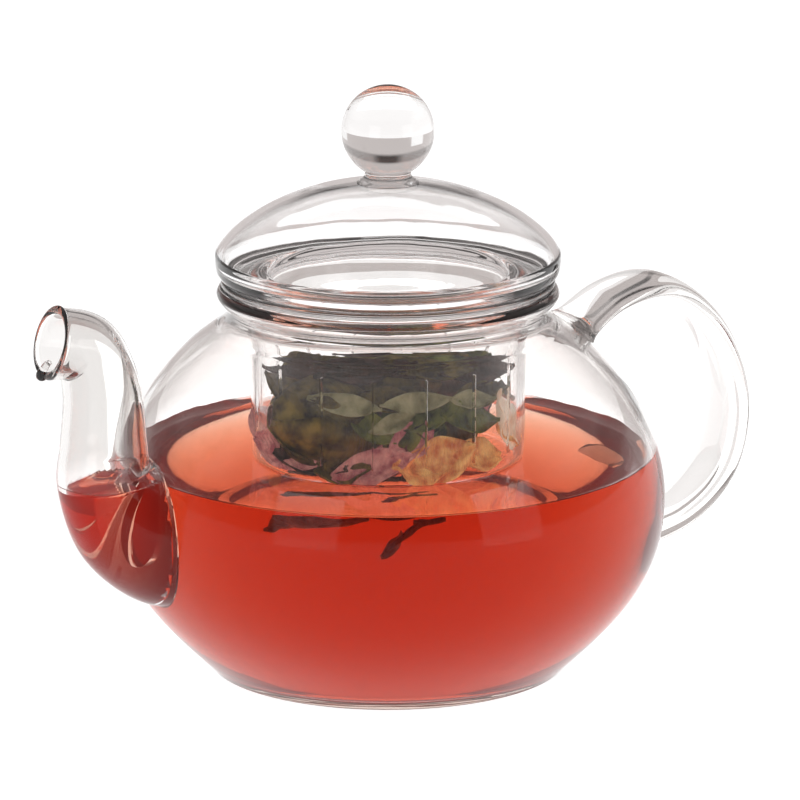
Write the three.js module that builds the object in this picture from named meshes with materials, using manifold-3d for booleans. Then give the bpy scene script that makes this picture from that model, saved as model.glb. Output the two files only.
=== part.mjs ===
// Blown-glass teapot with a glass infuser and a domed glass lid, in millimetres, +Z up.
// Origin: centre of the flat base. The spout points to -X and the handle to +X.
import * as THREE from 'three';
import { mergeVertices } from 'three/addons/utils/BufferGeometryUtils.js';
import Module from 'manifold-3d';

const wasm = await Module();
wasm.setup();

// ---- driving dimensions ----
const ROUND_SIDES = 48; // sides of every large turned piece
const JOINT_GAP = 0.3; // clearance between pieces that are fused or rest on each other

const BELLY_R = 62.7; // widest outer radius of the bowl
const BELLY_Z = 38.9; // height of the widest ring
const BASE_R = 40.6; // flat base
const NECK_R = 36.2; // narrowest outer radius, under the mouth rim
const NECK_Z = 82.0;
const SHOULDER_TOP_R = 32.0; // where the shoulder curve would end without a neck
const SHOULDER_TOP_Z = 81.0;
const BOWL_WALL = 2.0;
const NECK_FLARE = 1.6; // how far outside the neck the shoulder curve hands over to it
const NECK_ENTRY = { out: 0.4, below: 1.5 }; // last step of the outline before the neck
const FLOOR_FILLET = 3; // height up to which the inside of the base's corner is one straight bevel
const FLOOR_INSET = 1.6; // the flat inside floor is this much smaller than the base
const UNDERSIDE_POWER = [0.88, 2.3]; // superellipse exponents in radius and height
const SHOULDER_POWER = [1.37, 1.9];

const RIM_R = 38.6; // mouth rim, flared out from the neck
const RIM_INNER_R = 35.4;
// Outside of the rim: reach past the neck or short of the rim's widest ring, and height above its foot.
const RIM_FOOT_OUT = 0.1;
const RIM_HOLLOW = { inset: 0.6, rise: 1.9 };
const RIM_WIDEST_RISE = 3.4;
const RIM_EDGE_BREAK = 0.8;
// Inside of the flare: reach past the mouth, and height above the rim's foot.
const RIM_FLARE = [[1.4, 2.7], [0.4, 1.3]];
const RIM_TOP_Z = 87.3;
const MOUTH_R = 33.8; // clear opening of the mouth

const SPOUT_WALL = 1.8;
const SPOUT_HOLE_R = 9; // hole through the bowl wall behind the spout
const SPOUT_HOLE_Z = 41;
const SPOUT_DRILL_LONG = 24;
// Spout stations: reach from the pot's axis, height, outer radius.
const SPOUT = [
  [49.5, 37.5, 18.6],
  [57, 38, 17.2],
  [64.8, 42.5, 14.4],
  [70.2, 50.5, 11],
  [70.6, 58.5, 9.7],
  [70.8, 70.5, 8.8],
  [74.3, 80.6, 7.9],
  [82.8, 83.2, 7.9],
];
const SPOUT_SIDES = 20;
const LIP_FROM = 0.955; // part of the spout's length where the fire-polished lip starts
const LIP_GAP = 0.004; // the same measure, between the tube's end and the lip
const LIP_SWELL = 0.45; // how far the lip stands out of the spout's wall
const LIP_END_SWELL = 0.27;
const LIP_THINNING = 0.3; // how much the lip's wall thins at its end
const DRIP_BEAD_R = 1.7;

const HANDLE_HALF_THICK = 2.8; // pressed flat bar, thin in the plane of the loop
const HANDLE_HALF_WIDE = 8.2;
// Handle stations: reach from the pot's axis and height of the bar's centre.
const HANDLE = [
  [46.4, 71.6],
  [57.2, 78.4],
  [69.2, 79.9],
  [79.5, 73.2],
  [86.6, 62],
  [89.2, 48.5],
  [85.4, 34.6],
  [74.5, 24.8],
  [57, 19.6],
];
const HANDLE_STEPS = 28;
const WELD_SPREAD = 1.6; // how far a weld's foot spreads past the bar
const WELD_REACH = 3.6; // a weld ends this far outside the bowl
const WELD_SPLIT_Z = 45; // height between the two welds

const INFUSER_R = 30.8;
const INFUSER_WALL = 1.6;
const INFUSER_BOTTOM_Z = 46.0;
const INFUSER_CORNER_R = 4;
const SLOTS = 16;
const SLOT_WIDE = 0.8;
const SLOT_LOW_Z = 52;
const SLOT_HIGH_Z = 72;
const CUT_DEEP = 8; // depth of the cutters for slots and holes, through the wall with room to spare
const DRAIN_HOLE_R = 1.5;
const DRAIN_RING_R = 15;
const DRAIN_HOLES = 8;
const COLLAR_R = 37.6; // flange that hangs the infuser on the mouth rim
const COLLAR_THICK = 1.5;
const COLLAR_OUTER_BREAK = 0.8;
const COLLAR_INNER_BREAK = 0.5;

const LID_R = 38.85; // widest ring of the lid
const LID_WIDE_Z = 94.6;
const LID_SEAT_R = 35.6; // ring on which the lid rests
// Rounded edge between the seat and the widest ring: [inset from the lid's radius, height above the seat].
const LID_EDGE = [[1.4, 0.1], [0.5, 0.9], [0.1, 2.6]];
const DOME_RISE = 16.4;
const DOME_POWER = [2.05, 1.36];
const LID_WALL = 1.9;
const SKIRT_R = 28.2; // locating skirt inside the infuser
const SKIRT_DEPTH = 9;
const SKIRT_BREAK = { inset: 0.4, rise: 0.6 };
// Inside of the lid above the skirt: [reach past the skirt, height above the seat].
const SKIRT_ROOT = [[1.7, 1.6], [0, 1.4], [0, 0]];
const DOME_CENTRE_R = 0.5; // inside points nearer the axis than this are left to the closing point
const STEM_R = 5.2;
const STEM_FOOT = { out: 1.2, rise: 0.6 };
const STEM_TAPER = 0.3;
const KNOB_R = 10.45;
const KNOB_Z = 122.4;
const KNOB_FLAT = 1.2; // height of the slice cut off the ball where it sits on the stem

// ---- materials ----
const clearGlass = (name) => new THREE.MeshStandardMaterial({
  name,
  color: 0xf1f4f2,
  roughness: 0.03,
  metalness: 0,
  transparent: true,
  opacity: 0.35,
});

// ---- solids ----
function weld(geometry) {
  geometry.deleteAttribute('normal');
  geometry.deleteAttribute('uv');
  return mergeVertices(geometry, 1e-4);
}

function toSolid(geometry) {
  const merged = weld(geometry);
  return new wasm.Manifold(new wasm.Mesh({
    numProp: 3,
    vertProperties: Float32Array.from(merged.attributes.position.array),
    triVerts: Uint32Array.from(merged.index.array),
  }));
}

function toGeometry(solid) {
  const mesh = solid.getMesh();
  const geometry = new THREE.BufferGeometry();
  geometry.setAttribute('position', new THREE.BufferAttribute(mesh.vertProperties, 3));
  geometry.setIndex(new THREE.BufferAttribute(mesh.triVerts, 1));
  geometry.computeVertexNormals();
  return geometry;
}

// ---- profiles, as [radius, height] pairs ----
// Quarter of a superellipse that leaves (r0, z0) level and reaches (r1, z1) upright.
function undersideArc(r0, z0, r1, z1, [p, q], steps) {
  const points = [];
  for (let i = 0; i <= steps; i++) {
    const t = (i / steps) * Math.PI / 2;
    const radius = r0 + (r1 - r0) * Math.sin(t) ** (2 / p);
    const height = z0 + (z1 - z0) * (1 - Math.cos(t) ** (2 / q));
    points.push([radius, height]);
  }
  return points;
}

// Quarter of a superellipse that leaves (r0, z0) upright and reaches (r1, z1) level.
function shoulderArc(r0, z0, r1, z1, [p, q], steps) {
  const points = [];
  for (let i = 0; i <= steps; i++) {
    const t = (i / steps) * Math.PI / 2;
    const radius = r1 + (r0 - r1) * Math.cos(t) ** (2 / p);
    const height = z0 + (z1 - z0) * Math.sin(t) ** (2 / q);
    points.push([radius, height]);
  }
  return points;
}

// Points of an open outline moved to its left by a wall thickness.
function offset(points, distance) {
  return points.map(([r, z], i) => {
    const [r0, z0] = points[Math.max(i - 1, 0)];
    const [r1, z1] = points[Math.min(i + 1, points.length - 1)];
    const length = Math.hypot(r1 - r0, z1 - z0);
    return [r - (z1 - z0) / length * distance, z + (r1 - r0) / length * distance];
  });
}

// Smooth curve through a few profile points.
function smooth(points, steps) {
  const curve = new THREE.SplineCurve(points.map(([r, z]) => new THREE.Vector2(r, z)));
  return curve.getPoints(steps).map((p) => [p.x, p.y]);
}

function revolve(points, sides = ROUND_SIDES) {
  const outline = points.map(([r, z]) => new THREE.Vector2(r, z));
  const geometry = new THREE.LatheGeometry(outline, sides);
  geometry.rotateX(Math.PI / 2);
  return geometry;
}

// ---- bowl ----
const bowlOutline = [
  ...undersideArc(BASE_R, 0, BELLY_R, BELLY_Z, UNDERSIDE_POWER, 9),
  ...shoulderArc(BELLY_R, BELLY_Z, SHOULDER_TOP_R, SHOULDER_TOP_Z, SHOULDER_POWER, 10)
    .slice(1)
    .filter(([r]) => r > NECK_R + NECK_FLARE),
];
const neckOutline = [[NECK_R + NECK_ENTRY.out, NECK_Z - NECK_ENTRY.below], [NECK_R, NECK_Z]];

// Closed solid of the bowl's outer shape, grown by a clearance, that trims the spout and the handle.
function bowlBlank(grow) {
  const outer = offset([...bowlOutline, ...neckOutline], -grow);
  return toSolid(revolve([[0, -grow], ...outer, [0, NECK_Z]]));
}

function bowl() {
  const outer = [...bowlOutline, ...neckOutline];
  const inner = offset(bowlOutline, BOWL_WALL).filter(([, z]) => z > FLOOR_FILLET);
  const throat = [[MOUTH_R, NECK_Z - NECK_ENTRY.below], [MOUTH_R, NECK_Z]];
  const floor = [[0, BOWL_WALL], [BASE_R - FLOOR_INSET, BOWL_WALL]];
  const section = [[0, 0], ...outer, ...[...floor, ...inner, ...throat].reverse()];
  const drill = new THREE.CylinderGeometry(SPOUT_HOLE_R, SPOUT_HOLE_R, SPOUT_DRILL_LONG, SPOUT_SIDES);
  drill.rotateZ(Math.PI / 2);
  drill.translate(-BELLY_R, 0, SPOUT_HOLE_Z);
  return toGeometry(toSolid(revolve(section)).subtract(toSolid(drill)));
}

function mouthRim() {
  const low = NECK_Z + JOINT_GAP;
  return revolve([
    [MOUTH_R, low],
    ...smooth([
      [NECK_R + RIM_FOOT_OUT, low],
      [RIM_R - RIM_HOLLOW.inset, low + RIM_HOLLOW.rise],
      [RIM_R, low + RIM_WIDEST_RISE],
      [RIM_R - RIM_EDGE_BREAK, RIM_TOP_Z],
    ], 6),
    [RIM_INNER_R + RIM_EDGE_BREAK, RIM_TOP_Z],
    [RIM_INNER_R, RIM_TOP_Z - RIM_EDGE_BREAK],
    ...RIM_FLARE.map(([out, rise]) => [MOUTH_R + out, low + rise]),
    [MOUTH_R, low],
  ]);
}

// ---- spout ----
const spoutPath = new THREE.CatmullRomCurve3(
  SPOUT.map(([reach, z]) => new THREE.Vector3(-reach, 0, z)), false, 'catmullrom', 0.5);
const spoutGirth = new THREE.CatmullRomCurve3(
  SPOUT.map(([, , radius]) => new THREE.Vector3(radius, 0, 0)), false, 'catmullrom', 0.5);

// A turned tube bent along the spout's path.
// Each wall point is [distance along the path, inset from the spout's outside].
function bentTube(wall) {
  const outline = wall.map(([t, inset]) => new THREE.Vector2(spoutGirth.getPoint(t).x - inset, t));
  const geometry = new THREE.LatheGeometry(outline, SPOUT_SIDES);
  const position = geometry.attributes.position;
  const across = new THREE.Vector3(0, 1, 0);
  for (let i = 0; i < position.count; i++) {
    const t = position.getY(i);
    const centre = spoutPath.getPoint(t);
    const normal = spoutPath.getTangent(t).cross(across);
    const point = centre
      .addScaledVector(normal, position.getX(i))
      .addScaledVector(across, position.getZ(i));
    position.setXYZ(i, point.x, point.y, point.z);
  }
  return geometry;
}

function span(from, to, inset, steps) {
  return Array.from({ length: steps + 1 }, (_, i) => [from + (to - from) * i / steps, inset]);
}

function spout() {
  const end = LIP_FROM - LIP_GAP;
  const outside = span(0, end, 0, 18);
  const inside = span(end, 0, SPOUT_WALL, 18);
  const tube = toSolid(bentTube([...outside, ...inside, [0, 0]]));
  return toGeometry(tube.subtract(bowlBlank(JOINT_GAP)));
}

function spoutLip() {
  const middle = (LIP_FROM + 1) / 2;
  const ring = bentTube([
    [LIP_FROM, 0],
    [middle, -LIP_SWELL],
    [1, -LIP_END_SWELL],
    [1, SPOUT_WALL - LIP_THINNING],
    [middle, SPOUT_WALL],
    [LIP_FROM, SPOUT_WALL],
    [LIP_FROM, 0],
  ]);
  const below = spoutPath.getTangent(1).cross(new THREE.Vector3(0, 1, 0));
  const drip = spoutPath.getPoint(1).addScaledVector(below, spoutGirth.getPoint(1).x);
  const bead = new THREE.SphereGeometry(DRIP_BEAD_R, 12, 8);
  bead.translate(drip.x, drip.y, drip.z);
  return toGeometry(toSolid(ring).add(toSolid(bead)));
}

// ---- handle ----
const handlePath = new THREE.CatmullRomCurve3(
  HANDLE.map(([reach, z]) => new THREE.Vector3(reach, 0, z)), false, 'catmullrom', 0.5);

// Oval bar along the handle's path, wider than the handle by a spread all round.
function handleBar(spread) {
  const section = new THREE.Shape();
  section.absellipse(0, 0, HANDLE_HALF_WIDE + spread, HANDLE_HALF_THICK + spread, 0, Math.PI * 2);
  return toSolid(new THREE.ExtrudeGeometry(section, {
    curveSegments: 7,
    steps: HANDLE_STEPS,
    extrudePath: handlePath,
    bevelEnabled: false,
  }));
}

// The two feet of glass gathered round the ends of the bar, cut off parallel to the bowl.
const weldFeet = handleBar(WELD_SPREAD)
  .subtract(bowlBlank(JOINT_GAP))
  .intersect(bowlBlank(WELD_REACH));

function upperWeld() {
  return toGeometry(weldFeet.trimByPlane([0, 0, 1], WELD_SPLIT_Z));
}

function lowerWeld() {
  return toGeometry(weldFeet.trimByPlane([0, 0, -1], -WELD_SPLIT_Z));
}

function handle() {
  return toGeometry(handleBar(0).subtract(bowlBlank(WELD_REACH + JOINT_GAP)));
}

// ---- infuser ----
// Rounded corner of the cup's outline, from its floor up into its wall.
function cupCorner(radius, z, r) {
  return Array.from({ length: 5 }, (_, i) => {
    const angle = (i / 4) * Math.PI / 2;
    return [radius - r + r * Math.sin(angle), z + r - r * Math.cos(angle)];
  });
}

function infuserCup() {
  const top = RIM_TOP_Z;
  const innerR = INFUSER_R - INFUSER_WALL;
  const innerBottom = INFUSER_BOTTOM_Z + INFUSER_WALL;
  const outer = [...cupCorner(INFUSER_R, INFUSER_BOTTOM_Z, INFUSER_CORNER_R), [INFUSER_R, top]];
  const inner = [...cupCorner(innerR, innerBottom, INFUSER_CORNER_R - INFUSER_WALL), [innerR, top]];
  let cup = toSolid(revolve([[0, INFUSER_BOTTOM_Z], ...outer, ...inner.reverse(), [0, innerBottom]]));
  for (let i = 0; i < SLOTS; i++) {
    const slot = new THREE.BoxGeometry(CUT_DEEP, SLOT_WIDE, SLOT_HIGH_Z - SLOT_LOW_Z);
    slot.translate(INFUSER_R, 0, (SLOT_LOW_Z + SLOT_HIGH_Z) / 2);
    slot.rotateZ(((i + 0.5) / SLOTS) * Math.PI * 2);
    cup = cup.subtract(toSolid(slot));
  }
  for (let i = 0; i < DRAIN_HOLES; i++) {
    const hole = new THREE.CylinderGeometry(DRAIN_HOLE_R, DRAIN_HOLE_R, CUT_DEEP, 8);
    hole.rotateX(Math.PI / 2);
    hole.translate(DRAIN_RING_R, 0, INFUSER_BOTTOM_Z);
    hole.rotateZ((i / DRAIN_HOLES) * Math.PI * 2);
    cup = cup.subtract(toSolid(hole));
  }
  return toGeometry(cup);
}

function infuserCollar() {
  const low = RIM_TOP_Z + JOINT_GAP;
  const high = low + COLLAR_THICK;
  const inner = INFUSER_R - INFUSER_WALL;
  return revolve([
    [inner, low],
    [COLLAR_R - COLLAR_OUTER_BREAK, low],
    [COLLAR_R, low + COLLAR_THICK / 2],
    [COLLAR_R - COLLAR_OUTER_BREAK, high],
    [inner + COLLAR_INNER_BREAK, high],
    [inner, high - COLLAR_INNER_BREAK],
    [inner, low],
  ]);
}

// ---- lid ----
const LID_SEAT_Z = RIM_TOP_Z + COLLAR_THICK + 2 * JOINT_GAP;

function lidDome() {
  const crown = shoulderArc(LID_R, LID_WIDE_Z, 0, LID_WIDE_Z + DOME_RISE, DOME_POWER, 11);
  const outer = [
    [LID_SEAT_R, LID_SEAT_Z],
    ...LID_EDGE.map(([inset, rise]) => [LID_R - inset, LID_SEAT_Z + rise]),
    ...crown.slice(0, -1),
  ];
  const inner = offset(crown.slice(0, -1), LID_WALL).filter(([r]) => r > DOME_CENTRE_R);
  return revolve([
    ...outer,
    [0, LID_WIDE_Z + DOME_RISE],
    [0, LID_WIDE_Z + DOME_RISE - LID_WALL],
    ...inner.reverse(),
    ...SKIRT_ROOT.map(([reach, rise]) => [SKIRT_R + reach, LID_SEAT_Z + rise]),
    [LID_SEAT_R, LID_SEAT_Z],
  ]);
}

function lidSkirt() {
  const high = LID_SEAT_Z - JOINT_GAP;
  const low = high - SKIRT_DEPTH;
  return revolve([
    [SKIRT_R - LID_WALL, low],
    [SKIRT_R - SKIRT_BREAK.inset, low],
    [SKIRT_R, low + SKIRT_BREAK.rise],
    [SKIRT_R, high],
    [SKIRT_R - LID_WALL, high],
    [SKIRT_R - LID_WALL, low],
  ]);
}

function knobStem() {
  const low = LID_WIDE_Z + DOME_RISE + JOINT_GAP;
  const high = KNOB_Z - KNOB_R + KNOB_FLAT;
  return revolve([
    [0, low],
    [STEM_R + STEM_FOOT.out, low],
    [STEM_R, low + STEM_FOOT.rise],
    [STEM_R - STEM_TAPER, high],
    [0, high],
  ], 24);
}

function knobBall() {
  const ball = new THREE.SphereGeometry(KNOB_R, 28, 16);
  ball.rotateX(Math.PI / 2);
  ball.translate(0, 0, KNOB_Z);
  const seat = KNOB_Z - KNOB_R + KNOB_FLAT + JOINT_GAP;
  return toGeometry(toSolid(ball).trimByPlane([0, 0, 1], seat));
}

// ---- assembly ----
function piece(name, geometry, material) {
  const mesh = new THREE.Mesh(geometry, material);
  mesh.name = name;
  return mesh;
}

const pot = new THREE.Group();
pot.add(
  piece('pot_bowl', bowl(), clearGlass('bowl_glass')),
  piece('mouth_rim', mouthRim(), clearGlass('rim_glass')),
  piece('spout', spout(), clearGlass('spout_glass')),
  piece('spout_lip', spoutLip(), clearGlass('lip_glass')),
  piece('handle', handle(), clearGlass('handle_glass')),
  piece('handle_upper_weld', upperWeld(), clearGlass('upper_weld_glass')),
  piece('handle_lower_weld', lowerWeld(), clearGlass('lower_weld_glass')),
);

const infuser = new THREE.Group();
infuser.add(
  piece('infuser_cup', infuserCup(), clearGlass('infuser_glass')),
  piece('infuser_collar', infuserCollar(), clearGlass('collar_glass')),
);

const lid = new THREE.Group();
lid.add(
  piece('lid_dome', lidDome(), clearGlass('dome_glass')),
  piece('lid_skirt', lidSkirt(), clearGlass('skirt_glass')),
  piece('knob_stem', knobStem(), clearGlass('stem_glass')),
  piece('knob_ball', knobBall(), clearGlass('knob_glass')),
);

const teapot = new THREE.Group();
teapot.add(pot, infuser, lid);

export default teapot;
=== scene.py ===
"""Glass teapot with an infuser full of leaves, half filled with red tea. Lengths are in millimetres until a mesh is made."""
import math
import random

import bmesh  # noqa: E402
import bpy  # noqa: E402
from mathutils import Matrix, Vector, noise  # noqa: E402
from mathutils.bvhtree import BVHTree  # noqa: E402


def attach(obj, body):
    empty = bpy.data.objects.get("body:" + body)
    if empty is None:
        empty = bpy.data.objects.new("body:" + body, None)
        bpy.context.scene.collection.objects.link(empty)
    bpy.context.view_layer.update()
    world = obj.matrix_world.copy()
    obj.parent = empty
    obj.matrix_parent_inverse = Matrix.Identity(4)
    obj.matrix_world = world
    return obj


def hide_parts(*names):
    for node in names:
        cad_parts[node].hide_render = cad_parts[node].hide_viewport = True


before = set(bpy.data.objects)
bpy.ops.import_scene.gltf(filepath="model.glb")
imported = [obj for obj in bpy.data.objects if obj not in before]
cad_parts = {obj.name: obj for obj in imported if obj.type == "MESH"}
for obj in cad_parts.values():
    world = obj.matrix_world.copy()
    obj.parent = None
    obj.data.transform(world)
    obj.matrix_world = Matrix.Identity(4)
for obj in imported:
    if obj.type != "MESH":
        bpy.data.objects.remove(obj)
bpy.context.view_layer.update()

MM = 0.001
ROUND = 192  # sides of a turned piece

# ---- the CAD's own driving dimensions, repeated ----
BELLY_R, BELLY_Z, BASE_R = 62.7, 38.9, 40.6
SHOULDER_END_R, SHOULDER_END_Z = 32.0, 81.0
BOWL_WALL = 2.0
UNDERSIDE_POWER, SHOULDER_POWER = (0.88, 2.3), (1.37, 1.9)
SPOUT_WALL = 1.8
SPOUT_HOLE_R, SPOUT_HOLE_Z = 9.0, 41.0
SPOUT = [
    (49.5, 37.5, 18.6), (57, 38, 17.2), (64.8, 42.5, 14.4), (70.2, 50.5, 11),
    (70.6, 58.5, 9.7), (70.8, 70.5, 8.8), (74.3, 80.6, 7.9), (82.8, 83.2, 7.9),
]
HANDLE = [
    (46.4, 71.6), (57.2, 78.4), (69.2, 79.9), (79.5, 73.2), (86.6, 62),
    (89.2, 48.5), (85.4, 34.6), (74.5, 24.8), (57, 19.6),
]
HANDLE_HALF_THICK, HANDLE_HALF_WIDE = 2.8, 8.2
INFUSER_R, INFUSER_WALL, INFUSER_BOTTOM_Z, INFUSER_CORNER_R = 30.8, 1.6, 46.0, 4.0
SLOTS, SLOT_LOW_Z, SLOT_HIGH_Z = 16, 52.0, 72.0
DRAIN_HOLES, DRAIN_HOLE_R, DRAIN_RING_R = 8, 1.5, 15.0
COLLAR_R, COLLAR_LOW_Z, COLLAR_THICK = 37.6, 87.6, 1.5
LID_R, LID_WIDE_Z, DOME_RISE, DOME_POWER, LID_WALL = 38.85, 94.6, 16.4, (2.05, 1.36), 1.9
SKIRT_R, SKIRT_LOW_Z, LID_SEAT_Z = 28.2, 80.1, 89.4
KNOB_R, KNOB_Z = 10.45, 122.4
TEA_Z = 48.4  # level of the tea


# ---- curves ----
def quarter(r0, z0, r1, z1, power, steps, under):
    """Quarter of a superellipse; under is the half below the widest ring."""
    p, q = power
    points = []
    for i in range(steps + 1):
        t = i / steps * math.pi / 2
        s, c = math.sin(t), max(math.cos(t), 0.0)
        if under:
            points.append((r0 + (r1 - r0) * s ** (2 / p), z0 + (z1 - z0) * (1 - c ** (2 / q))))
        else:
            points.append((r1 + (r0 - r1) * c ** (2 / p), z0 + (z1 - z0) * s ** (2 / q)))
    return points


def catmull(points, steps):
    """Points along a Catmull-Rom curve through the given ones, steps to each stretch."""
    first = [2 * a - b for a, b in zip(points[0], points[1])]
    last = [2 * a - b for a, b in zip(points[-1], points[-2])]
    padded = [first, *points, last]
    out = []
    for k in range(1, len(padded) - 2):
        p0, p1, p2, p3 = padded[k - 1:k + 3]
        for i in range(steps):
            t = i / steps
            out.append(tuple(
                0.5 * (2 * b + (c - a) * t + (2 * a - 5 * b + 4 * c - d) * t * t + (3 * b - a - 3 * c + d) * t ** 3)
                for a, b, c, d in zip(p0, p1, p2, p3)
            ))
    out.append(tuple(points[-1]))
    return out


def offset(points, distance):
    """Open outline moved to its left by a wall thickness."""
    moved = []
    for i, (r, z) in enumerate(points):
        r0, z0 = points[max(i - 1, 0)]
        r1, z1 = points[min(i + 1, len(points) - 1)]
        length = math.hypot(r1 - r0, z1 - z0) or 1.0
        moved.append((r - (z1 - z0) / length * distance, z + (r1 - r0) / length * distance))
    return moved


def rounded(corners, steps=6):
    """Closed or open outline with its corners rounded: each corner is (r, z, radius)."""
    out = []
    count = len(corners)
    for i, (r, z, radius) in enumerate(corners):
        if not radius or i in (0, count - 1):
            out.append((r, z))
            continue
        here = Vector((r, z))
        before = (Vector(corners[i - 1][:2]) - here).normalized()
        after = (Vector(corners[i + 1][:2]) - here).normalized()
        half = before.angle(after) / 2
        cut = radius / math.tan(half)
        start, end = here + before * cut, here + after * cut
        for k in range(steps + 1):
            t = k / steps
            out.append(tuple(start * (1 - t) ** 2 + here * 2 * t * (1 - t) + end * t * t))
    return out


# ---- meshes ----
def make(name, verts, faces, smooth=True):
    mesh = bpy.data.meshes.new(name)
    mesh.from_pydata([tuple(c * MM for c in v) for v in verts], [], faces)
    bm = bmesh.new()
    bm.from_mesh(mesh)
    bmesh.ops.recalc_face_normals(bm, faces=bm.faces)
    bm.to_mesh(mesh)
    bm.free()
    mesh.polygons.foreach_set("use_smooth", [smooth] * len(mesh.polygons))
    obj = bpy.data.objects.new(name, mesh)
    bpy.context.scene.collection.objects.link(obj)
    return obj


def loft(name, rings, wrap=False):
    """Skin over rings of points; a ring of one point is a pole. wrap joins the last ring to the first."""
    verts, starts = [], []
    for ring in rings:
        starts.append(len(verts))
        verts.extend(ring)
    faces = []
    pairs = list(zip(range(len(rings)), range(1, len(rings))))
    if wrap:
        pairs.append((len(rings) - 1, 0))
    for a, b in pairs:
        na, nb = len(rings[a]), len(rings[b])
        n = max(na, nb)
        if n == 1:
            continue
        for k in range(n):
            j = (k + 1) % n
            if na == 1:
                faces.append((starts[a], starts[b] + j, starts[b] + k))
            elif nb == 1:
                faces.append((starts[a] + k, starts[a] + j, starts[b]))
            else:
                faces.append((starts[a] + k, starts[a] + j, starts[b] + j, starts[b] + k))
    return make(name, verts, faces)


def lathe(name, outline, sides=ROUND, wrap=False, centre=(0.0, 0.0)):
    """Turned solid. wrap closes an outline that never touches the axis."""
    rings = []
    for r, z in outline:
        if r < 1e-6:
            rings.append([(centre[0], centre[1], z)])
        else:
            rings.append([
                (centre[0] + r * math.cos(2 * math.pi * k / sides), centre[1] + r * math.sin(2 * math.pi * k / sides), z)
                for k in range(sides)
            ])
    return loft(name, rings, wrap)


def bake_modifiers(obj):
    graph = bpy.context.evaluated_depsgraph_get()
    mesh = bpy.data.meshes.new_from_object(obj.evaluated_get(graph))
    old = obj.data
    obj.modifiers.clear()
    obj.data = mesh
    bpy.data.meshes.remove(old)


def carve(obj, cutter, operation="DIFFERENCE", solver="EXACT"):
    """Boolean, applied, and the cutter removed."""
    cut = obj.modifiers.new("cut", "BOOLEAN")
    cut.operation = operation
    cut.object = cutter
    cut.solver = solver
    bake_modifiers(obj)
    bpy.data.objects.remove(cutter)
    return obj


def join(name, parts):
    """One mesh from several, which are removed."""
    bm = bmesh.new()
    for part in parts:
        bm.from_mesh(part.data)
    mesh = bpy.data.meshes.new(name)
    bm.to_mesh(mesh)
    bm.free()
    for part in parts:
        bpy.data.objects.remove(part)
    obj = bpy.data.objects.new(name, mesh)
    bpy.context.scene.collection.objects.link(obj)
    return obj


def crisp(obj, degrees=38):
    obj.data.polygons.foreach_set("use_smooth", [True] * len(obj.data.polygons))
    obj.data.set_sharp_from_angle(angle=math.radians(degrees))
    return obj


# ---- bowl and mouth rim ----
underside = quarter(BASE_R, 0, BELLY_R, BELLY_Z, UNDERSIDE_POWER, 60, True)
shoulder = quarter(BELLY_R, BELLY_Z, SHOULDER_END_R, SHOULDER_END_Z, SHOULDER_POWER, 70, False)[1:]
shoulder = [p for p in shoulder if p[0] > 38.2]
neck = catmull([shoulder[-1], (36.75, 80.3), (36.2, 82.0), (36.5, 83.0), (38.0, 84.3), (38.55, 85.7), (37.9, 86.9),
                (36.9, 87.28), (36.0, 87.0), (35.45, 86.3), (35.2, 85.2), (34.5, 84.0), (33.95, 83.1), (33.8, 82.3)], 6)
wall_outside = underside + shoulder
wall_inside = [p for p in offset(wall_outside, BOWL_WALL) if p[1] > 4.2]
foot = catmull([(0, 0.9), (20, 0.85), (34, 0.55), (37.4, 0.1), (39.2, 0.0)], 6)
floor_inside = catmull([(0, 2.9), (20, 2.85), (34, 2.7), (38.6, 2.9), wall_inside[0]], 6)[:-1]
throat = catmull([(33.8, 82.3), (33.95, 80.6), wall_inside[-1]], 6)


def bowl_blank(name, inset):
    """Closed solid of the bowl's outer shape, smaller by inset, that trims what is welded onto it."""
    outer = offset(underside[2:] + shoulder + [(36.75, 80.3), (36.2, 82.0)], inset)
    return lathe(name, [(0, 1.0)] + outer + [(0, 82.0)])


bowl = lathe("bowl_glass", foot + wall_outside[1:-1] + neck + throat[1:-1] + wall_inside[::-1] + floor_inside[::-1])


def side_drill(radius, near, far):
    """Round bar along X through the wall behind the spout."""
    rings = []
    for x in (-far, -near):
        rings.append([
            (x, radius * math.cos(2 * math.pi * k / 72), SPOUT_HOLE_Z + radius * math.sin(2 * math.pi * k / 72))
            for k in range(72)
        ])
    return loft("drill", [[(-far, 0, SPOUT_HOLE_Z)], *rings, [(-near, 0, SPOUT_HOLE_Z)]])


carve(bowl, side_drill(SPOUT_HOLE_R, 50, 75))
crisp(bowl)

# ---- spout ----
spout_line = catmull([(-a, 0.0, z) for a, z, _ in SPOUT], 14)
spout_girth = [r for _, r in catmull([(i, r) for i, (_, _, r) in enumerate(SPOUT)], 14)]


def spout_ring(place, radius, sides=96):
    """Ring of the spout's section at a place along its line, from 0 to 1."""
    at = place * (len(spout_line) - 1)
    i = min(int(at), len(spout_line) - 2)
    p, q = Vector(spout_line[i]), Vector(spout_line[i + 1])
    centre = p.lerp(q, at - i)
    before = Vector(spout_line[max(i - 1, 0)])
    after = Vector(spout_line[min(i + 2, len(spout_line) - 1)])
    along = (q - before).normalized().lerp((after - p).normalized(), at - i).normalized()
    up = along.cross(Vector((0, 1, 0)))
    return [
        tuple(centre + up * (radius * math.cos(2 * math.pi * k / sides)) + Vector((0, 1, 0)) * (radius * math.sin(2 * math.pi * k / sides)))
        for k in range(sides)
    ]


def girth(place):
    at = place * (len(spout_girth) - 1)
    i = min(int(at), len(spout_girth) - 2)
    return spout_girth[i] + (spout_girth[i + 1] - spout_girth[i]) * (at - i)


def lip_swell(place):
    return 0.5 * max(0.0, (place - 0.93) / 0.07) ** 2


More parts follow.
